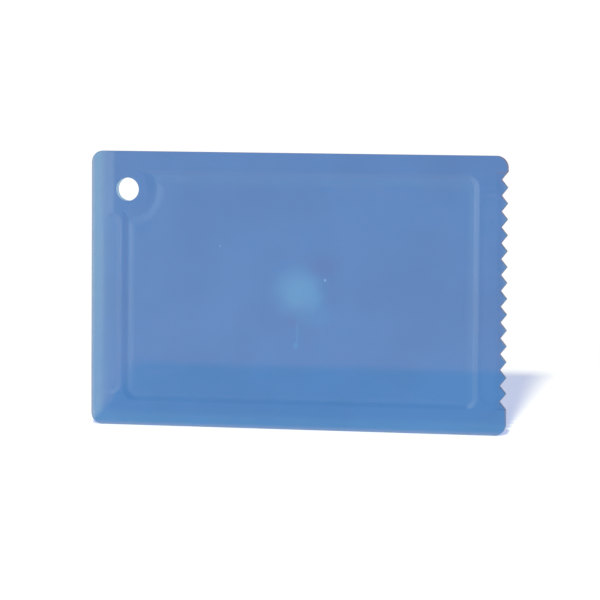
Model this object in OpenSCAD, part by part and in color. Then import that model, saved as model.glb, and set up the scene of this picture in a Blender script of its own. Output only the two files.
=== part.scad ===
// Pocket ice scraper: one moulded card of clear blue plastic, standing on its long edge.
// X runs from the smooth blade to the teeth, Y from the front face to the back, Z up.
// The origin is under the middle of the card, on the surface that it stands on.

/* [Card] */
// Length of the card, from the left blade to the tips of the teeth
card_w = 100; // [80:1:140]
// Height of the card
card_h = 65; // [50:1:90]
// Thickness of the card where it is thickest
card_t = 2.4; // [2:0.1:4]
// Radius of the four outer corners
corner_r = 2.8; // [1:0.1:5]

/* [Scraping edges] */
// Thickness that is left at the left and lower edges
edge_t = 0.9; // [0.6:0.1:1.4]
// Width of the slope along the left edge
left_slope_w = 5.7; // [3:0.1:6.5]
// Width of the slope along the lower edge
lower_slope_w = 5.7; // [3:0.1:6]

/* [Teeth] */
// Distance from one notch to the next
tooth_pitch = 3.68; // [2.5:0.01:6]
// Depth of a notch
tooth_depth = 1.5; // [0.8:0.1:2.5]
// Top corner of the card to the first notch
tooth_from_top = 5.5; // [4:0.1:10]
// Least distance from the last notch to the lower corner
tooth_from_bottom = 7; // [4:0.1:12]
// Thickness that is left at the tips of the teeth
tip_t = 1.5; // [1:0.1:1.9]
// Width of the slope behind the teeth
tooth_slope_w = 2.5; // [2:0.1:4.5]

/* [Hanging hole] */
// Diameter of the hole
hole_d = 5.5; // [3:0.1:8]
// Centre of the hole from the left edge
hole_from_left = 9.2; // [7:0.1:14]
// Centre of the hole from the top edge
hole_from_top = 9; // [7:0.1:14]
// Width of the full-thickness pad around the hole
pad_wall = 2.2; // [1.5:0.1:5]
// Width of the sloping wall around the pad
pad_wall_run = 2; // [0.5:0.1:2.5]

/* [Sunk panel] */
// Depth of the groove that runs around the panel, below the front face
panel_depth = 0.6; // [0.4:0.05:0.9]
// Left edge of the card to the panel
panel_from_left = 8.7; // [8:0.1:10]
// Tips of the teeth to the panel
panel_from_right = 7.1; // [6.8:0.1:12]
// Top edge of the card to the panel
panel_from_top = 5; // [4:0.1:8]
// Lower edge of the card to the panel
panel_from_bottom = 6.5; // [6.4:0.1:9]
// Radius of the panel's corners at its floor
panel_r = 1.8; // [1:0.1:4]
// Width of the sloping wall around the panel
panel_wall_run = 1.2; // [0.3:0.1:1.2]

/* [Raised field in the panel] */
// Height of the field above the groove around it
field_rise = 0.15; // [0.1:0.05:0.3]
// Width of the groove on the left of the field
groove_left = 1.2; // [1.1:0.1:3]
// Width of the groove on the right of the field
groove_right = 2.4; // [1.1:0.1:3]
// Width of the groove above the field
groove_top = 2.8; // [1.1:0.1:4]
// Width of the groove below the field, and of the one around the hole's pad
groove_bottom = 1.2; // [1.1:0.1:3]
// Width of the sloping wall around the field
field_wall_run = 0.8; // [0.3:0.1:0.8]

/* [Frame around the panel] */
// Width of the frame on the left of the panel, out to the step beside it
left_frame_w = 1.5; // [1.2:0.1:2]
// Width of the frame on the right of the panel, out to the step beside it
right_frame_w = 1.3; // [1.2:0.1:3]
// Depth of the step on the left of the frame
left_step_depth = 0.45; // [0.1:0.05:0.6]
// Depth of the step on the right of the frame
right_step_depth = 0.2; // [0.1:0.05:0.4]
// Width of the sloping wall of both steps
step_wall_run = 0.9; // [0.2:0.1:0.9]

/* [Gate mark] */
// Diameter of the shallow dish on the back, where the mould was filled
dish_d = 14; // [6:0.5:20]
// Depth of the dish
dish_depth = 0.35; // [0.1:0.05:0.5]
// Diameter of the trimmed stub in the dish
stub_d = 1.6; // [1:0.1:3]
// Height of the stub above the floor of the dish
stub_h = 0.2; // [0.1:0.05:0.3]

/* [Hidden] */

$fn = 96;
past = 1;          // how far a cut runs past the surface it cuts
lift = 0.1;        // how far a sloping cutter stands in front of the front face
row_end = 0.4;      // how far the slope behind the teeth runs past the outer notches
left = -card_w / 2;
right = card_w / 2;
front = -card_t / 2;
back = card_t / 2;
hole_x = left + hole_from_left;
hole_z = card_h - hole_from_top;
pad_r = hole_d / 2 + pad_wall;
notch_run = card_h - tooth_from_top - tooth_from_bottom;
notch_count = floor(notch_run / tooth_pitch) + 1;
panel_left = left + panel_from_left;
panel_right = right - panel_from_right;
panel_low = panel_from_bottom;
panel_high = card_h - panel_from_top;
dish_x = (panel_left + panel_right) / 2;
dish_z = card_h / 2;
dish_sphere_r = (pow(dish_d / 2, 2) + pow(dish_depth, 2)) / (2 * dish_depth);

// Rectangle with round corners, given by its sides
module rounded(x0, x1, z0, z1, r) {
    translate([x0 + r, z0]) square([x1 - x0 - 2 * r, z1 - z0]);
    translate([x0, z0 + r]) square([x1 - x0, z1 - z0 - 2 * r]);
    for (x = [x0 + r, x1 - r], z = [z0 + r, z1 - r]) translate([x, z]) circle(r);
}

// A flat shape, drawn in X and Z, that fills the depth from y0 to y1
module slab(y0, y1) {
    translate([0, y1, 0]) rotate([90, 0, 0]) linear_extrude(y1 - y0) children();
}

// Block with sloping sides and round corners, between two depths below the front face.
// Its sides are given halfway up the slope, and it runs a little past its wide end.
module tapered(x0, x1, z0, z1, r, narrow, wide, run) {
    half = run / 2;
    inset = r + half;
    grow = lift * run / abs(wide - narrow);
    deep = wide > narrow;
    end = deep ? wide + lift : wide - lift;
    translate([0, front, z0 + inset]) linear_extrude(z1 - z0 - 2 * inset)
        taper_section(x0, x1, half, grow, narrow, end);
    translate([x1 - inset, front, 0]) rotate([0, -90, 0]) linear_extrude(x1 - x0 - 2 * inset)
        taper_section(z0, z1, half, grow, narrow, end);
    for (x = [x0 + inset, x1 - inset], z = [z0 + inset, z1 - inset])
        translate([x, front + narrow, z]) rotate([deep ? -90 : 90, 0, 0])
            cylinder(h = abs(end - narrow), r1 = r, r2 = r + run + grow);
}

// Section through a tapered block
module taper_section(a, b, half, grow, narrow, end) {
    polygon([
        [a + half, narrow],
        [b - half, narrow],
        [b + half + grow, end],
        [a - half - grow, end]
    ]);
}

// Cutter for a slope along an edge: the edge is at x = 0, and the slope runs towards +X
module edge_slope(length, width, drop) {
    grow = 0.25;
    outer = [-grow * width, (1 + grow) * drop];
    inner = [(1 + grow) * width, -grow * drop];
    linear_extrude(length, center = true) polygon([outer, inner, [outer[0], inner[1]]]);
}

// The row of notches that leaves the teeth standing
module notches() {
    for (i = [0 : notch_count - 1])
        translate([right, card_h - tooth_from_top - i * tooth_pitch])
            polygon([
                [-tooth_depth, 0],
                [past, (tooth_depth + past) * tooth_pitch / 2 / tooth_depth],
                [past, -(tooth_depth + past) * tooth_pitch / 2 / tooth_depth]
            ]);
}

// Slopes that thin the card to a blade on the left and below, and behind the teeth
module edge_slopes() {
    row_top = card_h - tooth_from_top + tooth_pitch / 2 + row_end;
    row_h = notch_count * tooth_pitch + 2 * row_end;
    translate([left, front, card_h / 2])
        edge_slope(card_h + 2 * past, left_slope_w, card_t - edge_t);
    translate([0, front, 0]) rotate([0, -90, 0])
        edge_slope(card_w + 2 * past, lower_slope_w, card_t - edge_t);
    translate([right, front, row_top - row_h / 2]) mirror([1, 0, 0])
        edge_slope(row_h, tooth_slope_w, card_t - tip_t);
}

// Cone around the hole, from its radius at one depth to its radius at a smaller one
module hole_cone(deep, shallow, deep_r, shallow_r) {
    translate([hole_x, front + deep, hole_z]) rotate([90, 0, 0])
        cylinder(h = deep - shallow, r1 = deep_r, r2 = shallow_r);
}

// The sunk panel: the field stands up in it, and the pad around the hole is left whole
module panel_cut() {
    floor_r = pad_r + pad_wall_run;
    difference() {
        tapered(panel_left, panel_right, panel_low, panel_high, panel_r, panel_depth, 0, panel_wall_run);
        hole_cone(panel_depth, 0, floor_r, pad_r);
        difference() {
            tapered(panel_left + groove_left, panel_right - groove_right,
                    panel_low + groove_bottom, panel_high - groove_top,
                    panel_r, panel_depth - field_rise, panel_depth, field_wall_run);
            hole_cone(panel_depth + past, 0, floor_r + groove_bottom / 2,
                      floor_r + groove_bottom / 2 + field_wall_run);
        }
    }
}

// Steps on the outer sides of the frame, left and right
module step_cuts() {
    tapered(left - 3 * past, panel_left - left_frame_w,
            panel_low + groove_bottom, hole_z - pad_r - pad_wall_run / 2,
            panel_r, left_step_depth, 0, step_wall_run);
    tapered(panel_right + right_frame_w, right + 3 * past, panel_low + groove_bottom, hole_z,
            panel_r, right_step_depth, 0, step_wall_run);
}

// The dish on the back, with the stub of the gate in it
module gate_mark() {
    floor_y = back - dish_depth;
    difference() {
        translate([dish_x, floor_y + dish_sphere_r, dish_z]) sphere(dish_sphere_r, $fn = 200);
        translate([dish_x, floor_y + stub_h, dish_z]) rotate([90, 0, 0])
            cylinder(h = stub_h + past, d = stub_d);
    }
}

module scraper_card() {
    color([0.36, 0.56, 0.78, 0.85]) difference() {
        slab(front, back) difference() {
            rounded(left, right, 0, card_h, corner_r);
            notches();
        }
        edge_slopes();
        panel_cut();
        step_cuts();
        gate_mark();
        translate([hole_x, 0, hole_z]) rotate([90, 0, 0])
            cylinder(h = card_t + 2 * past, d = hole_d, center = true);
    }
}

scraper_card();
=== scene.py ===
# %% [markdown]
# # A pocket ice scraper in clear blue plastic
#
# The object is one moulded card that clears frost from a windscreen. One short side is a smooth
# blade, the other a row of teeth, and a round hole in a corner takes a cord. The plastic is clear
# enough for a shadow behind the card to show through it.
#
# This lesson builds the card as one detailed mesh and gives it a plastic that scatters light and
# lets a little of it through. A small studio comes last. Every step prints what it made.

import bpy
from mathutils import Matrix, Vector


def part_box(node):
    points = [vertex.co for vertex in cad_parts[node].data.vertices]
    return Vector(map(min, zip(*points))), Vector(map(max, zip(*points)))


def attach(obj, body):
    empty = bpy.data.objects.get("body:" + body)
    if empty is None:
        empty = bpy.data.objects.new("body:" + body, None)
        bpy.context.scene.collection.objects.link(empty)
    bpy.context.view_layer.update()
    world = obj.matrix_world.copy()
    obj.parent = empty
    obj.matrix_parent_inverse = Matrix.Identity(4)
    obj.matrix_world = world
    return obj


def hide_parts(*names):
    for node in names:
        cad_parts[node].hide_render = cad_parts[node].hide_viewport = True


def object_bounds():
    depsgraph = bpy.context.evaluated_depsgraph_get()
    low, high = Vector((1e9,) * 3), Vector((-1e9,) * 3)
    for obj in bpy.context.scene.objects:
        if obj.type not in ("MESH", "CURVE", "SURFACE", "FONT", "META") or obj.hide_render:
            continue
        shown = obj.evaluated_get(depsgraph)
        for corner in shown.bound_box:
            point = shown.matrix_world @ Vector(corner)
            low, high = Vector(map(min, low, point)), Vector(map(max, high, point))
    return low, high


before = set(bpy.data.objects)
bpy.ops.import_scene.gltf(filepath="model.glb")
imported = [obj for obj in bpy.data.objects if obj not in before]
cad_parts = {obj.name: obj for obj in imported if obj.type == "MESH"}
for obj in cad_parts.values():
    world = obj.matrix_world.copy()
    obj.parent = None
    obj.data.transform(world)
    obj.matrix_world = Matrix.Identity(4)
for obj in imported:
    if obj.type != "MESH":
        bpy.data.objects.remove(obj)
cad_low, cad_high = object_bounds()
print("nodes in the frame:", sorted(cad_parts))

# %% Tools used all through the lesson
import math

import bmesh
import bpy
import numpy as np
from mathutils import Matrix, Vector
from mathutils.geometry import delaunay_2d_cdt

# %% [markdown]
# ## The card's own ruler
#
# Small parts are easier to think about in millimetres, measured from one corner of the card.
# `across` is the distance from the blade, `up` is the height above the lower edge, and a depth is
# measured into the plastic. Blender works in metres, so the finished points are scaled once.

# %% Overall size, from the frame
MM = 0.001
card_low, card_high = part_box("scraper_card")
card_w, card_t, card_h = ((card_high - card_low) / MM)[:]
print(f"card: {card_w:.1f} x {card_h:.1f} x {card_t:.1f} mm")

# %% [markdown]
# ## The sizes of what is moulded into the card
#
# These are the same driving sizes as the design's. Slopes thin the card towards the blade, the
# lower edge and the teeth. A sunk panel has a groove around a slightly raised field, and a frame
# runs around the panel. The hole has a pad of full thickness around it.
#
# The look goes its own way in three small things. The field's wall is spread wider, the floor of
# the left step falls a little towards the blade, and the slope behind the teeth fades out at both
# ends of the row.

# %% Sizes of the front face, in millimetres
corner_r = 2.8
edge_t, tip_t = 0.9, 1.5
left_slope_w, lower_slope_w, tooth_slope_w = 5.7, 5.7, 2.5

tooth_pitch, tooth_depth = 3.68, 1.5
tooth_from_top, tooth_from_bottom = 5.5, 7.0
row_end, row_end_wall = 0.4, 1.0

hole_r, hole_across, hole_up = 2.75, 9.2, card_h - 9.0
pad_r, pad_slope = hole_r + 2.2, 2.0

panel_depth, panel_r, panel_wall = 0.6, 1.8, 1.2
panel_left, panel_right = 8.7, card_w - 7.1
panel_low, panel_high = 6.5, card_h - 5.0

field_rise, field_wall = 0.15, 0.8
soft_field_wall = 1.7 * field_wall
groove_left, groove_right, groove_top, groove_bottom = 1.2, 2.4, 2.8, 1.2

left_step_depth, right_step_depth, step_wall = 0.45, 0.2, 0.9
left_step_edge, right_step_edge = panel_left - 1.5, panel_right + 1.3
step_fall = 0.05
print(f"panel: {panel_right - panel_left:.1f} x {panel_high - panel_low:.1f} mm")

# %% Sizes of the gate mark on the back
dish_across, dish_up = (panel_left + panel_right) / 2, card_h / 2
dish_r, dish_depth = 7.0, 0.35
stub_r, stub_h = 0.8, 0.2
print(f"gate mark: {dish_across:.1f} mm from the blade, {dish_up:.1f} mm up")

# %% [markdown]
# ## A depth for every point of the front face
#
# The front face could be cut with booleans, but they leave hard creases, and a moulded card has
# none: the mould is cut with round tools and the plastic shrinks a little away from it. A face
# that never folds over itself is simpler as a height map. A function says how far each point lies
# below the front face, and its soft steps and soft corners give creases that catch the light.

# %% Soft steps, soft corners and rounded rectangles
crease = 0.12
s_spread = 1.3


def soft_step(t):
    """0 below 0, 1 above 1, with a smooth S between them."""
    t = np.clip(t, 0, 1)
    return t * t * (3 - 2 * t)


def soft_wall(beyond, run):
    """1 well inside a wall's middle line, 0 well outside it. An S is steepest halfway, so it is
    spread over more than the wall's own run, which gives it about the straight wall's slope."""
    return soft_step(0.5 - beyond / (s_spread * run))


def soft_max(a, b):
    """The larger of two depths, with a rounded crease where they cross."""
    return (a + b + np.sqrt((a - b) ** 2 + crease**2)) / 2


def beyond_box(across, up, left, right, low, high, r):
    """Distance outside a round-cornered rectangle, negative inside it."""
    x = np.abs(across - (left + right) / 2) - (right - left) / 2 + r
    z = np.abs(up - (low + high) / 2) - (high - low) / 2 + r
    return np.hypot(np.maximum(x, 0), np.maximum(z, 0)) + np.minimum(np.maximum(x, z), 0) - r


# %% Slopes along the blade, the lower edge and the teeth
notch_count = int((card_h - tooth_from_top - tooth_from_bottom) / tooth_pitch) + 1
top_notch = card_h - tooth_from_top
low_notch = top_notch - (notch_count - 1) * tooth_pitch
row_low = low_notch - tooth_pitch / 2 - row_end
row_high = top_notch + tooth_pitch / 2 + row_end


def slopes(across, up):
    """Depth of the slopes, which is negative where a slope has run out above the face."""
    blade = (card_t - edge_t) * (1 - across / left_slope_w)
    lower = (card_t - edge_t) * (1 - up / lower_slope_w)
    teeth = (card_t - tip_t) * (1 - (card_w - across) / tooth_slope_w)
    in_row = np.minimum(up - row_low, row_high - up)
    teeth = np.minimum(teeth, (1 + card_t - tip_t) * soft_step(in_row / row_end_wall) - 1)
    return soft_max(soft_max(blade, lower), teeth)


print(f"{notch_count} notches, from {low_notch:.1f} to {top_notch:.1f} mm up the side")

# %% [markdown]
# ## The sunk panel, its raised field and the two steps
#
# Each is a rounded rectangle with a sloping wall. The wall is a soft step across the rectangle's
# side, and the pad around the hole is left standing by keeping the cut away from a circle.


# %% Depth of the panel, of the steps and of the whole front
def sunk_panel(across, up):
    """Depth of the panel: a groove all round, and a field that stands up inside it."""
    from_hole = np.hypot(across - hole_across, up - hole_up)
    wall = beyond_box(across, up, panel_left, panel_right, panel_low, panel_high,
                      panel_r + panel_wall / 2)
    around_pad = pad_r + pad_slope / 2 - from_hole
    cut = np.minimum(soft_wall(wall, panel_wall), soft_wall(around_pad, pad_slope))
    wall = beyond_box(across, up, panel_left + groove_left, panel_right - groove_right,
                      panel_low + groove_bottom, panel_high - groove_top, panel_r + field_wall / 2)
    around_pad += pad_slope / 2 + groove_bottom / 2 + field_wall / 2
    field = np.minimum(soft_wall(wall, soft_field_wall), soft_wall(around_pad, soft_field_wall))
    return panel_depth * cut - field_rise * field


def side_steps(across, up):
    """Depth of the shallow steps outside the frame, which run out of the card on both sides."""
    low, left_high = panel_low + groove_bottom, hole_up - pad_r - pad_slope / 2
    run_out = 3.0
    r = panel_r + step_wall / 2
    left = beyond_box(across, up, -run_out, left_step_edge, low, left_high, r)
    right = beyond_box(across, up, right_step_edge, card_w + run_out, low, hole_up, r)
    outwards = left_step_depth + step_fall * np.maximum(left_step_edge - across, 0)
    return outwards * soft_wall(left, step_wall) + right_step_depth * soft_wall(right, step_wall)


def front_depth(across, up):
    """Depth of the whole front: the deeper of the slopes and of what is sunk into it."""
    cuts = np.maximum(sunk_panel(across, up), side_steps(across, up))
    return soft_max(slopes(across, up), cuts)


# %% [markdown]
# ## The back
#
# The back is flat but for a shallow round dish with the trimmed stub of the gate in it, where the
# mould was filled. The dish is a slice of a large sphere.

# %% Depth of the back
dish_sphere = (dish_r**2 + dish_depth**2) / (2 * dish_depth)
stub_wall = 0.2


def back_depth(across, up):
    from_gate = np.hypot(across - dish_across, up - dish_up)
    inside = np.minimum(from_gate, dish_sphere)
    bowl = dish_depth - (dish_sphere - np.sqrt(dish_sphere**2 - inside**2))
    stub = stub_h * soft_step((stub_r - from_gate) / stub_wall + 0.5)
    return np.maximum(bowl, 0) - stub


print(f"thickness at the panel's middle: "
      f"{card_t - front_depth(dish_across, dish_up) - back_depth(dish_across, dish_up):.2f} mm")

# %% [markdown]
# ## The outline
#
# The outline is a list of corners, each with a radius, and a small function turns it into points:
# an arc at each corner and evenly spaced points between. The teeth are corners like the others.
# A knife-sharp tooth would not fill in the mould, so tips and valleys get a very small radius.

# %% A path with round corners
point_gap = 0.45


def round_path(corners):
    """Points along a closed path of (across, up, radius) corners."""
    spots = np.array([c[:2] for c in corners], float)
    radii = [c[2] for c in corners]
    arcs = []
    for i, spot in enumerate(spots):
        before = spot - spots[i - 1]
        after = spots[(i + 1) % len(spots)] - spot
        before /= np.hypot(*before)
        after /= np.hypot(*after)
        turn = math.atan2(before[0] * after[1] - before[1] * after[0], before @ after)
        side = math.copysign(1.0, turn)
        start = spot - before * radii[i] * math.tan(abs(turn) / 2)
        spoke = radii[i] * side * np.array([before[1], -before[0]])
        steps = max(3, math.ceil(radii[i] * abs(turn) / (point_gap / 2)))
        angles = turn * np.linspace(0, 1, steps + 1)
        swung = [spoke * math.cos(a) + np.array([-spoke[1], spoke[0]]) * math.sin(a) for a in angles]
        arcs.append(start - spoke + np.array(swung))
    path = []
    for i, arc in enumerate(arcs):
        path.extend(arc)
        gap = arcs[(i + 1) % len(arcs)][0] - arc[-1]
        steps = math.ceil(np.hypot(*gap) / point_gap)
        path.extend(arc[-1] + gap * s / steps for s in range(1, steps))
    return np.array(path)


# %% The card's outline and the hole's
tip_r = 0.22


def toothed_side():
    """Corners up the right side, from the lowest notch to the highest."""
    corners = [(card_w, low_notch - tooth_pitch / 2, tip_r)]
    for i in range(notch_count):
        middle = low_notch + i * tooth_pitch
        corners.append((card_w - tooth_depth, middle, tip_r))
        corners.append((card_w, middle + tooth_pitch / 2, tip_r))
    return corners


card_outline = round_path(
    [(0, 0, corner_r), (card_w, 0, corner_r)]
    + toothed_side()
    + [(card_w, card_h, corner_r), (0, card_h, corner_r)]
)
hole_turns = -np.linspace(0, 2 * np.pi, 96, endpoint=False)
hole_outline = np.stack(
    [hole_across + hole_r * np.cos(hole_turns), hole_up + hole_r * np.sin(hole_turns)], 1
)
print(f"outline: {len(card_outline)} points, hole: {len(hole_outline)} points")

# %% [markdown]
# ## Rounded rims
#
# No moulded edge is perfectly sharp, and a thin highlight along the rim is what makes an edge look
# real. Each outline is therefore moved inwards in three small steps that follow a quarter circle.
# A corner point moves along the line that halves its angle, so the rim keeps one width.

# %% Moving an outline inwards
rim_r = 0.12
rim_angles = np.radians([90, 60, 30, 0])


def out_of_plastic(path):
    """For each point of a path, the way out of the plastic, as long as a mitre needs it."""
    along = np.roll(path, -1, 0) - path
    along /= np.hypot(along[:, 0], along[:, 1])[:, None]
    after = np.stack([along[:, 1], -along[:, 0]], 1)
    before = np.roll(after, 1, 0)
    return (before + after) / (1 + (before * after).sum(1))[:, None]


def moved_in(path, distance):
    return path - out_of_plastic(path) * distance


# %% [markdown]
# ## Points inside the outline
#
# Walls and creases need many points and flat stretches few. The grid is fine where a wall crosses
# it and coarse elsewhere, and rings of points surround the hole and fill the gate's dish. Points
# too close to an outline are dropped, as the outline has points of its own.


# %% Grids, rings and a clear margin
def graded(*stretches):
    """Positions along an axis, from (start, end, step) stretches."""
    return np.concatenate([np.arange(a, b, step) for a, b, step in stretches])


def grid(across, up):
    a, u = np.meshgrid(across, up)
    return np.stack([a.ravel(), u.ravel()], 1)


def rings(across, up, radii, count):
    turns = np.linspace(0, 2 * np.pi, count, endpoint=False)
    r, t = np.meshgrid(radii, turns)
    return np.stack([across + (r * np.cos(t)).ravel(), up + (r * np.sin(t)).ravel()], 1)


def distance_to(path, spots):
    """Distance from each spot to a closed path, and whether the path encloses it."""
    nearest, crossings = np.full(len(spots), np.inf), np.zeros(len(spots), int)
    for a, b in zip(path, np.roll(path, -1, 0)):
        side = b - a
        t = np.clip(((spots - a) @ side) / (side @ side), 0, 1)
        nearest = np.minimum(nearest, np.hypot(*(spots - a - t[:, None] * side).T))
        spans = (a[1] > spots[:, 1]) != (b[1] > spots[:, 1])
        if side[1] != 0:
            crossings += spans & (spots[:, 0] < a[0] + side[0] * (spots[:, 1] - a[1]) / side[1])
    return nearest, crossings % 2 == 1


def kept_clear(spots, margin):
    """The spots that are inside the card and outside the hole by at least a margin."""
    to_edge, inside = distance_to(card_outline, spots)
    to_hole = np.hypot(spots[:, 0] - hole_across, spots[:, 1] - hole_up) - hole_r
    return spots[inside & (to_edge > margin) & (to_hole > margin)]


# %% Where the front and the back need their points
fine, plain, slope_gap, back_gap = 0.14, 0.9, 0.3, 1.5
margin = rim_r + 0.12
slope_part = (margin, 4.5, slope_gap)

front_across = graded(
    slope_part, (4.5, 10.4, fine), (10.4, 89.4, plain), (89.4, 98.0, fine), (98.0, card_w, slope_gap)
)
front_up = graded(
    slope_part, (4.5, 8.6, fine), (8.6, 50.0, plain), (50.0, 51.2, fine), (51.2, 55.4, plain),
    (55.4, 60.6, fine), (60.6, card_h, 2 * slope_gap)
)
ring_reach = pad_r + 2.7
front_spots = grid(front_across, front_up)
from_hole = np.hypot(front_spots[:, 0] - hole_across, front_spots[:, 1] - hole_up)
front_spots = np.vstack([
    front_spots[from_hole > ring_reach],
    rings(hole_across, hole_up, np.arange(hole_r + margin, ring_reach, fine), count=150),
])
front_spots = kept_clear(front_spots, margin)

back_spots = grid(np.arange(margin, card_w, back_gap), np.arange(margin, card_h, back_gap))
from_gate = np.hypot(back_spots[:, 0] - dish_across, back_spots[:, 1] - dish_up)
back_spots = np.vstack([
    back_spots[from_gate > dish_r + 0.6],
    rings(dish_across, dish_up, graded((0.15, 1.2, 0.07), (1.2, dish_r + 0.5, 0.35)), count=72),
])
back_spots = kept_clear(back_spots, margin)
print(f"points inside: {len(front_spots)} in front, {len(back_spots)} behind")

# %% [markdown]
# ## From points to triangles
#
# A Delaunay triangulation joins the points with triangles that are as even as they can be, and it
# keeps the outlines as edges. That is why the points could be placed so freely. The triangles that
# use only points of the hole's outline are the ones that would cover the hole, so they are left out.

# %% One triangulated sheet
constrained = 1
merge_gap = 1e-6


def sheet(spots):
    """Points and triangles between the two outlines, and the points of each outline in order."""
    loops = [moved_in(card_outline, rim_r), moved_in(hole_outline, rim_r)]
    given = np.vstack([*loops, spots])
    edges, first = [], 0
    for loop in loops:
        edges += [(first + i, first + (i + 1) % len(loop)) for i in range(len(loop))]
        first += len(loop)
    points, _, triangles, origins, _, _ = delaunay_2d_cdt(
        [Vector(p) for p in given], edges, [], constrained, merge_gap
    )
    points = np.array([p[:] for p in points])
    place_of = {source: i for i, sources in enumerate(origins) for source in sources}
    starts = [0, len(loops[0])]
    found = [[place_of[s + i] for i in range(len(loop))] for s, loop in zip(starts, loops)]
    around_hole = set(found[1])
    kept = [t for t in triangles if not around_hole.issuperset(t)]
    return points, kept, found


front_points, front_triangles, front_loops = sheet(front_spots)
back_points, back_triangles, back_loops = sheet(back_spots)
print(f"triangles: {len(front_triangles)} in front, {len(back_triangles)} behind")

# %% [markdown]
# ## Normals from the shape itself
#
# Smooth shading usually averages the faces around a point, which smears a highlight where large
# and small faces meet. Here the depth is a formula, so its slope gives the exact normal.


# %% Normals of a sheet
def sheet_normals(depth, points, facing):
    """Unit normals of a face that lies `depth` below the plane that looks along `facing`."""
    step = 0.01
    across, up = points[:, 0], points[:, 1]
    rise_across = (depth(across + step, up) - depth(across - step, up)) / (2 * step)
    rise_up = (depth(across, up + step) - depth(across, up - step)) / (2 * step)
    normals = np.stack([rise_across, np.full(len(points), facing), rise_up], 1)
    return normals / np.linalg.norm(normals, axis=1)[:, None]


# %% Put the two sheets in place
front_y, back_y = -card_t / 2, card_t / 2
front_in = front_depth(*front_points.T)
back_in = back_depth(*back_points.T)
vertices = [
    np.column_stack([front_points[:, 0], front_y + front_in, front_points[:, 1]]),
    np.column_stack([back_points[:, 0], back_y - back_in, back_points[:, 1]]),
]
normals = [
    sheet_normals(front_depth, front_points, -1.0),
    sheet_normals(back_depth, back_points, 1.0),
]
behind = len(front_points)
faces = [tuple(t) for t in front_triangles]
faces += [tuple(behind + i for i in reversed(t)) for t in back_triangles]
back_loops = [[behind + i for i in loop] for loop in back_loops]

# %% [markdown]
# ## The rims close the card
#
# From the front sheet to the back sheet, each outline gets a band of rings: a quarter round, the
# straight wall, and a quarter round again. Each ring is joined to the next by four-sided faces.
# Where front and back come close together, as at the blade, the straight wall is only shorter.


# %% Rings around each outline
def add_ring(path, out, angle, near, sheet_normal, to_inside):
    """One ring of a rim. near is the y where the sheet ends, and to_inside is 1 or -1, the way
    from there into the card."""
    ring = moved_in(path, rim_r * (1 - math.cos(angle)))
    y = near + to_inside * rim_r * (1 - math.sin(angle))
    first = sum(len(v) for v in vertices)
    vertices.append(np.column_stack([ring[:, 0], y, ring[:, 1]]))
    flat_out = np.column_stack([out[:, 0], np.zeros(len(out)), out[:, 1]])
    normal = flat_out * math.cos(angle) + sheet_normal * math.sin(angle)
    normals.append(normal / np.linalg.norm(normal, axis=1)[:, None])
    return list(range(first, first + len(path)))


def close_rim(path, front_loop, back_loop):
    out = out_of_plastic(path)
    out = out / np.linalg.norm(out, axis=1)[:, None]
    sheet_y, sheet_n = np.vstack(vertices)[:, 1], np.vstack(normals)
    bands = [front_loop]
    for angle in rim_angles[1:]:
        bands.append(add_ring(path, out, angle, sheet_y[front_loop], sheet_n[front_loop], 1))
    for angle in rim_angles[:0:-1]:
        bands.append(add_ring(path, out, angle, sheet_y[back_loop], sheet_n[back_loop], -1))
    bands.append(back_loop)
    for inner, outer in zip(bands, bands[1:]):
        for i in range(len(path)):
            j = (i + 1) % len(path)
            faces.append((inner[i], outer[i], outer[j], inner[j]))


for path, front_loop, back_loop in zip((card_outline, hole_outline), front_loops, back_loops):
    close_rim(path, front_loop, back_loop)
print(f"rims: {len(faces) - len(front_triangles) - len(back_triangles)} faces")

# %% Make the mesh, in metres and in the frame's own place
corner = np.array([card_low.x, (card_low.y + card_high.y) / 2, card_low.z])
all_points = np.vstack(vertices)
card_mesh = bpy.data.meshes.new("clear_blue_card")
card_mesh.from_pydata((all_points * MM + corner).tolist(), [], faces)
card_mesh.shade_smooth()
card_mesh.normals_split_custom_set_from_vertices(np.vstack(normals).tolist())
card = bpy.data.objects.new("clear_blue_card", card_mesh)
bpy.context.scene.collection.objects.link(card)

# %% Check that it is closed
probe = bmesh.new()
probe.from_mesh(card_mesh)
open_edges = sum(not e.is_contiguous for e in probe.edges)
volume = probe.calc_volume(signed=True) / MM**3
probe.free()
print(f"card: {len(faces)} faces, {open_edges} open edges, {volume:.0f} mm3")
assert open_edges == 0 and volume > 0

# %% [markdown]
# ## What the plastic needs to know about the shape
#
# Thin plastic lets more light through, and rims wear first. Both are easy to work out here and
# hard to find later inside a material, so each point stores the thickness of the card there and
# its distance from the nearest edge.

# %% Thickness and distance from the edge, stored on the points
flat = all_points[:, [0, 2]]
thickness = card_t - front_depth(*flat.T) - back_depth(*flat.T)
to_edge = distance_to(card_outline, flat)[0]
for name, values in (("thickness_mm", thickness), ("edge_mm", to_edge)):
    stored = card_mesh.attributes.new(name, "FLOAT", "POINT")
    stored.data.foreach_set("value", values.astype(np.float32))
print(f"thickness: {thickness.min():.2f} to {thickness.max():.2f} mm")

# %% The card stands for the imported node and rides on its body
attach(card, "root")
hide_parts("scraper_card")

# %% [markdown]
# ## A clear blue plastic, in one thin layer
#
# Real clear plastic bends light at both faces. A glass shader would do that, but it gives a noisy
# picture for a card that mostly scatters light inside. Here the card acts as one layer: its outer
# side does all the work, and its inner side lets everything pass.
#
# The outer side mixes four shaders. A Principled shader gives the satin shine, a Diffuse shader
# the light that scatters back to the front, a Translucent shader the light that comes in from
# behind, and a Transparent shader lets the eye see through a little.

# %% Short helpers for building a node tree
plastic = bpy.data.materials.new("clear_blue_plastic")
plastic.use_nodes = True
tree = plastic.node_tree
tree.nodes.clear()


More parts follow.
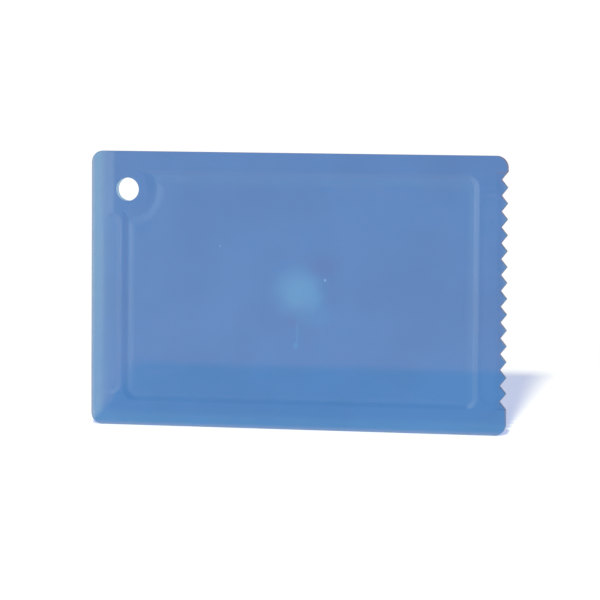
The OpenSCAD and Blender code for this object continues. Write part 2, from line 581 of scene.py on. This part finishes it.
def node(kind, inputs=(), **settings):
    """Adds a node to the tree at hand. An input is a value or the output of another node."""
    made = tree.nodes.new("ShaderNode" + kind)
    for name, value in settings.items():
        setattr(made, name, value)
    for name, value in dict(inputs).items():
        if isinstance(value, bpy.types.NodeSocket):
            tree.links.new(value, made.inputs[name])
        else:
            made.inputs[name].default_value = value
    return made


def maths(operation, a, b=0.0):
    return node("Math", {0: a, 1: b}, operation=operation).outputs[0]


def between(value, low, high, start=0.0, end=1.0):
    """start where value is low or less, end where it is high or more, smooth between."""
    inputs = {"Value": value, "From Min": low, "From Max": high, "To Min": start, "To Max": end}
    return node("MapRange", inputs, interpolation_type="SMOOTHSTEP").outputs[0]


def blend(amount, a, b):
    return node("Mix", {0: amount, 6: a, 7: b}, data_type="RGBA").outputs[2]


def noise(where, scale, detail=2.0, roughness=0.5):
    inputs = {"Vector": where, "Scale": scale, "Detail": detail, "Roughness": roughness}
    return node("TexNoise", inputs).outputs["Fac"]


def stretched(where, scale):
    return node("Mapping", {"Vector": where, "Scale": scale}).outputs[0]


def linear(red, green, blue):
    return (red, green, blue, 1.0)


# %% Places on the card, in millimetres, and the stored measures
object_place = node("TexCoord").outputs["Object"]
place = stretched(object_place, (1 / MM, 1 / MM, 1 / MM))
thick = node("Attribute", attribute_name="thickness_mm").outputs["Fac"]
edge = node("Attribute", attribute_name="edge_mm").outputs["Fac"]

# %% [markdown]
# ## Colour
#
# Melted plastic flows out from the gate in the middle and cools in slow clouds, so the blue is
# never quite even. Two large noises give those clouds. Around the gate the blue is made paler and
# greener, in a soft patch. A moulded card is never spotless either: there are faint smudges beside
# the patch, a thin flow line below it, and two specks of dust. Each of these is one call of the same
# helper, which blends a soft oval into the blue made so far.

# %% The blue and its clouds
deep_blue = linear(0.008, 0.102, 0.264)
light_blue = linear(0.010, 0.110, 0.282)
clouds = noise(place, 0.05, 3.0)
blue = blend(between(clouds, 0.35, 0.65), deep_blue, light_blue)

# %% Soft spots of another colour
ripple = maths("SUBTRACT", noise(place, 0.3, 3.0), 0.5)
spot_core, spot_rim = 0.3, 1.1


def from_spot(across, up, size=(1, 1)):
    """Distance on the card from a place, in millimetres or in shares of an oval's two radii."""
    centre = (across - card_w / 2, 0.0, up)
    moved = node("VectorMath", {0: place, 1: centre}, operation="SUBTRACT").outputs[0]
    scaled = stretched(moved, (1 / size[0], 0.0, 1 / size[1]))
    return node("VectorMath", {0: scaled}, operation="LENGTH").outputs["Value"]


def spot(colour, amount, from_gate, size, ruffle=0.6):
    """Blends a soft oval into the blue; its place is in millimetres from the gate."""
    length = from_spot(dish_across + from_gate[0], dish_up + from_gate[1], size)
    uneven = maths("ADD", length, maths("MULTIPLY", ripple, ruffle))
    return blend(between(uneven, spot_core, spot_rim, amount, 0.0), blue, colour)


# %% The pale patch at the gate, brightest in the middle, with a tail to the lower right
gate_blue = linear(0.010, 0.140, 0.320)
blue = spot(gate_blue, 0.55, (-0.2, 0.4), (7.8, 7.4))
blue = spot(gate_blue, 0.6, (1.2, -0.2), (5.6, 4.6))
blue = spot(gate_blue, 0.35, (4.5, -5.0), (5.5, 4.0))

# %% Smudges, a flow line below the gate, and two specks of dust
smudge_blue = linear(0.013, 0.088, 0.240)
blue = spot(smudge_blue, 0.6, (6.0, 6.0), (4.5, 3.2))
blue = spot(smudge_blue, 0.5, (-1.8, -7.2), (1.8, 1.3))
line_blue = linear(0.016, 0.150, 0.330)
blue = spot(line_blue, 0.5, (-0.3, -9.5), (0.35, 3.8), ruffle=0.2)
blue = spot(line_blue, 0.6, (-0.7, -12.6), (0.8, 1.2), ruffle=0.3)
dust = linear(0.12, 0.26, 0.42)
blue = spot(dust, 0.8, (6.3, 2.9), (0.35, 0.45), ruffle=0.2)
blue = spot(dust, 0.4, (-19.0, 10.5), (0.3, 0.3), ruffle=0.2)

# %% The lip of the blade and of the lower edge, painted paler as a highlight
# Painted highlight: where the card is thinnest, the blue is blended towards a pale colour that
# stands in for the light glowing along the thin edge.
lip_highlight_blue = linear(0.13, 0.16, 0.27)
lip_highlight = between(thick, 0.92, 1.2, 0.6, 0.0)
blue = blend(lip_highlight, blue, lip_highlight_blue)
print(f"colour: {len(tree.nodes)} nodes")

# %% [markdown]
# ## Shine and surface
#
# The mould is polished to a satin, so the roughness is about a third and changes a little from
# place to place. Fine scratches run along the card, the way it is pushed across glass, and they
# are strongest near its edges. The bump has a fine grain and those scratches in it.

# %% Grain, scratches and roughness
grain = noise(place, 2.5, 3.0)
wear = between(edge, 0.5, 9.0, 1.0, 0.25)
scratch_noise = noise(stretched(place, (0.25, 1.0, 5.0)), 1.0, 2.0)
scratches = maths("MULTIPLY", between(scratch_noise, 0.64, 0.7), wear)
roughness = between(noise(place, 0.12, 3.0), 0.3, 0.7, 0.30, 0.36)
roughness = maths("ADD", roughness, maths("MULTIPLY", scratches, 0.08))
height = maths("ADD", maths("MULTIPLY", grain, 0.5), maths("MULTIPLY", scratches, -0.6))
relief = node("Bump", {"Height": height, "Strength": 0.12, "Distance": 0.02 * MM}).outputs[0]
print(f"colour and surface: {len(tree.nodes)} nodes")

# %% [markdown]
# ## Light inside the plastic
#
# Light that has wandered about inside the card has forgotten the small slopes that it came in
# through, so only the shine shows them sharply. The shaders for the inner light therefore get a
# flattened normal: its two sideways parts are made smaller, and it is made one unit long again.
# Light from above and below has the longest way to wander, so the upright part shrinks the most.

# %% A flattened normal for the inner light
def flattened(normal, across, up):
    lowered = node("VectorMath", {0: normal, 1: (across, 1.0, up)}, operation="MULTIPLY").outputs[0]
    return node("VectorMath", {0: lowered}, operation="NORMALIZE").outputs[0]


surface_normal = node("NewGeometry").outputs["Normal"]
inner_normal = flattened(surface_normal, 0.35, 0.08)
shine_normal = flattened(relief, 1.0, 0.3)


def mixed(amount, a, b):
    made = node("MixShader", {0: amount})
    tree.links.new(a, made.inputs[1])
    tree.links.new(b, made.inputs[2])
    return made.outputs[0]


def times(colour, factor):
    return node("VectorMath", {0: colour, "Scale": factor}, operation="SCALE").outputs[0]


# %% The shaders of the outer side
inside_share, glow_share = 0.45, 0.55
shine = node("BsdfPrincipled", {
    "Base Color": times(blue, 0.35), "Roughness": roughness, "IOR": 1.5,
    "Specular IOR Level": 1.0, "Normal": shine_normal,
}).outputs[0]
scatter = node("BsdfDiffuse", {"Color": times(blue, 2.1), "Normal": inner_normal}).outputs[0]
glow = node("BsdfTranslucent", {"Color": times(blue, 1.6), "Normal": inner_normal}).outputs[0]
solid = mixed(inside_share, shine, mixed(glow_share, scatter, glow))

# %% [markdown]
# ## Seeing through it
#
# The eye sees a little of what is behind the card, tinted by the plastic. It sees more where the
# card is thin, and light also leaves a clear plate at its edge faces, so those are clearer too.
# The wall of the hole is the clearest, or it would look like a dark crescent beside the opening.

# %% How clear the plastic is, and its tint
plain_share, thin_share, rim_share = 0.08, 0.05, 0.42
other_rims = 0.2

thin = between(thick, 1.35, 2.05, 1.0, 0.0)
facing = node("SeparateXYZ", {"Vector": surface_normal}).outputs["Y"]
rim = between(maths("ABSOLUTE", facing), 0.3, 0.7, 1.0, 0.0)
from_hole = from_spot(hole_across, hole_up)
rim = maths("MULTIPLY", rim, between(from_hole, hole_r + 0.1, hole_r + 0.5, 1.0, other_rims))
clear_tint = blend(thin, linear(0.93, 0.44, 0.36), linear(0.86, 0.90, 0.66))
clear_tint = blend(rim, clear_tint, linear(0.50, 0.74, 0.95))

# %% Mix it in
see_through = node("BsdfTransparent", {"Color": clear_tint}).outputs[0]
clearness = maths("ADD", maths("MULTIPLY", thin, thin_share), maths("MULTIPLY", rim, rim_share))
outer_side = mixed(maths("ADD", clearness, plain_share), solid, see_through)

# %% [markdown]
# ## Coloured shadows
#
# Much more light gets through the card than the eye sees as a clear picture, because it arrives
# scattered. For rays on their way to a lamp, the card is therefore a plain blue filter, which
# gives it the soft blue shadow that clear plastic has.

# %% The filter for lamp light, and the empty inner side
lamp_filter = node("BsdfTransparent", {"Color": linear(0.18, 0.25, 0.56)}).outputs[0]
to_lamp = node("LightPath").outputs["Is Shadow Ray"]
outer_side = mixed(to_lamp, outer_side, lamp_filter)
empty = node("BsdfTransparent").outputs[0]
inner = node("NewGeometry").outputs["Backfacing"]
node("OutputMaterial", {"Surface": mixed(inner, outer_side, empty)})
card_mesh.materials.append(plastic)
print(f"{plastic.name}: {len(tree.nodes)} nodes")

# %% [markdown]
# ## The studio floor
#
# The card stands on a pale, matt table. It is a stage, not part of the object. A faint grain keeps
# it from being one flat colour, and far from the card it fades into the white surroundings, as a
# curved paper sweep does in a studio, so that there is no horizon.

# %% A pale matt floor
fade_start, fade_end = 0.2, 0.33
reach = 1.6
floor_mesh = bpy.data.meshes.new("studio_floor")
floor_mesh.from_pydata(
    [(-reach, -reach, 0), (reach, -reach, 0), (reach, reach, 0), (-reach, reach, 0)],
    [], [(0, 1, 2, 3)]
)
floor = bpy.data.objects.new("studio_floor", floor_mesh)
floor.location.z = cad_low.z
bpy.context.scene.collection.objects.link(floor)

# %% Its matt white, fading into the surroundings
matt_white = bpy.data.materials.new("matt_white_table")
matt_white.use_nodes = True
tree = matt_white.node_tree
tree.nodes.clear()
table_place = node("TexCoord").outputs["Object"]
table_white = blend(noise(table_place, 60.0), linear(0.89, 0.89, 0.89), linear(0.91, 0.91, 0.91))
table = node("BsdfDiffuse", {"Color": table_white}).outputs[0]
from_card = node("VectorMath", {0: table_place}, operation="LENGTH").outputs["Value"]
empty = node("BsdfTransparent").outputs[0]
faded = mixed(between(from_card, fade_start, fade_end), table, empty)
node("OutputMaterial", {"Surface": faded})
floor_mesh.materials.append(matt_white)
print(f"floor: fades out between {fade_start} and {fade_end} m from the card")

# %% [markdown]
# ## Light
#
# A large soft light from everywhere keeps the shadows pale. The camera sees the surroundings as
# pure white, and the card is lit by a gentler share of it. One small lamp, low in front, throws the
# card's shadow back, and because it is near, the shadow widens as it goes. Its light is kept even
# with distance, so that the table does not darken behind the card. A softbox on the left puts a
# sheen on whatever leans that way: the blade's slope and the left-facing walls. It casts no
# shadow, so that the table shows only one.

# %% The surroundings
seen_white, lighting_white = 1.05, 0.42
surroundings = bpy.data.worlds.new("white_studio")
surroundings.use_nodes = True
bpy.context.scene.world = surroundings
tree = surroundings.node_tree
tree.nodes.clear()
seen = node("LightPath").outputs["Is Camera Ray"]
white = linear(1, 1, 1)
soft_light = node("Background", {"Color": white, "Strength": lighting_white}).outputs[0]
white_wall = node("Background", {"Color": white, "Strength": seen_white}).outputs[0]
node("OutputWorld", {"Surface": mixed(seen, soft_light, white_wall)})
print(f"surroundings: seen at {seen_white}, lighting the card at {lighting_white}")


# %% Directions, aiming and linking
def towards(azimuth, elevation):
    """Unit vector from the card towards a place in the studio; azimuth 0 is straight in front."""
    a, e = math.radians(azimuth), math.radians(elevation)
    return Vector((math.sin(a) * math.cos(e), -math.cos(a) * math.cos(e), math.sin(e)))


def aim(thing, direction):
    """Turns a lamp so that it shines from that direction."""
    thing.rotation_euler = direction.to_track_quat("Z", "Y").to_euler()


def link(name, data):
    made = bpy.data.objects.new(name, data)
    bpy.context.scene.collection.objects.link(made)
    return made


card_middle = Vector((0, 0, card_h / 2 * MM))

# %% A small lamp, low in front, that keeps its light even with distance
lamp_place = Vector((0.137, -0.84, 0.40))
lamp_strength = 5.7
key = bpy.data.lights.new("low_key", "AREA")
key.shape = "DISK"
key.size = 0.055
key.energy = lamp_strength * math.pi
key.use_nodes = True
tree = key.node_tree
tree.nodes.clear()
even = node("LightFalloff", {"Strength": 1.0}).outputs["Constant"]
node("OutputLight", {"Surface": node("Emission", {"Strength": even}).outputs[0]})
low_key = link("low_key", key)
low_key.location = lamp_place
low_key.visible_glossy = False
low_key.visible_camera = False
aim(low_key, lamp_place - card_middle)
print(f"lamp: {(lamp_place - card_middle).length:.2f} m from the card")


# %% A softbox on the left
def softbox(name, azimuth, elevation, distance, width, height, radiance, tint):
    """A rectangle of light that faces the card. At radiance 1 it is as bright as surroundings of
    strength 1."""
    box = bpy.data.lights.new(name, "AREA")
    box.shape = "RECTANGLE"
    box.size, box.size_y = width, height
    box.energy = radiance * math.pi * width * height
    box.color = tint
    box.use_shadow = False
    made = link(name, box)
    made.location = card_middle + towards(azimuth, elevation) * distance
    aim(made, towards(azimuth, elevation))
    made.visible_camera = False
    print(f"{name}: {width} x {height} m, {distance} m away")


softbox("left_softbox", -50, 10, 1.2, 1.1, 0.85, 2.6, (0.85, 1.0, 0.92))

# %% [markdown]
# ## The camera
#
# A long lens from a little to the right of the card's front, just above the table, keeps its
# upright edges nearly parallel. The aim is a little beside the card's middle, and the camera is
# rolled by about a third of a degree. Its three axes are worked out first, as vectors.

# %% Where the camera stands
view_azimuth, view_elevation, view_roll = 13.10, 4.005, math.radians(0.368)
view_distance, aim_right, aim_up = 0.8436, 0.00092, -0.00189

back_to_camera = towards(view_azimuth, view_elevation)
to_right = towards(view_azimuth + 90, 0)
to_top = back_to_camera.cross(to_right)
turned = math.cos(view_roll) * to_right + math.sin(view_roll) * to_top
axes = Matrix((turned, back_to_camera.cross(turned), back_to_camera)).transposed()

# %% The camera
lens = bpy.data.cameras.new("camera")
lens.lens, lens.sensor_width = 216, 36
lens.clip_start, lens.clip_end = 0.01, 20
camera = link("camera", lens)
camera.rotation_euler = axes.to_euler()
aimed_at = card_middle + aim_right * to_right + aim_up * to_top
camera.location = aimed_at + view_distance * back_to_camera
bpy.context.scene.camera = camera
bpy.context.scene.view_settings.view_transform = "Standard"
print(f"camera: {view_distance:.2f} m away, {view_azimuth} degrees to the right")
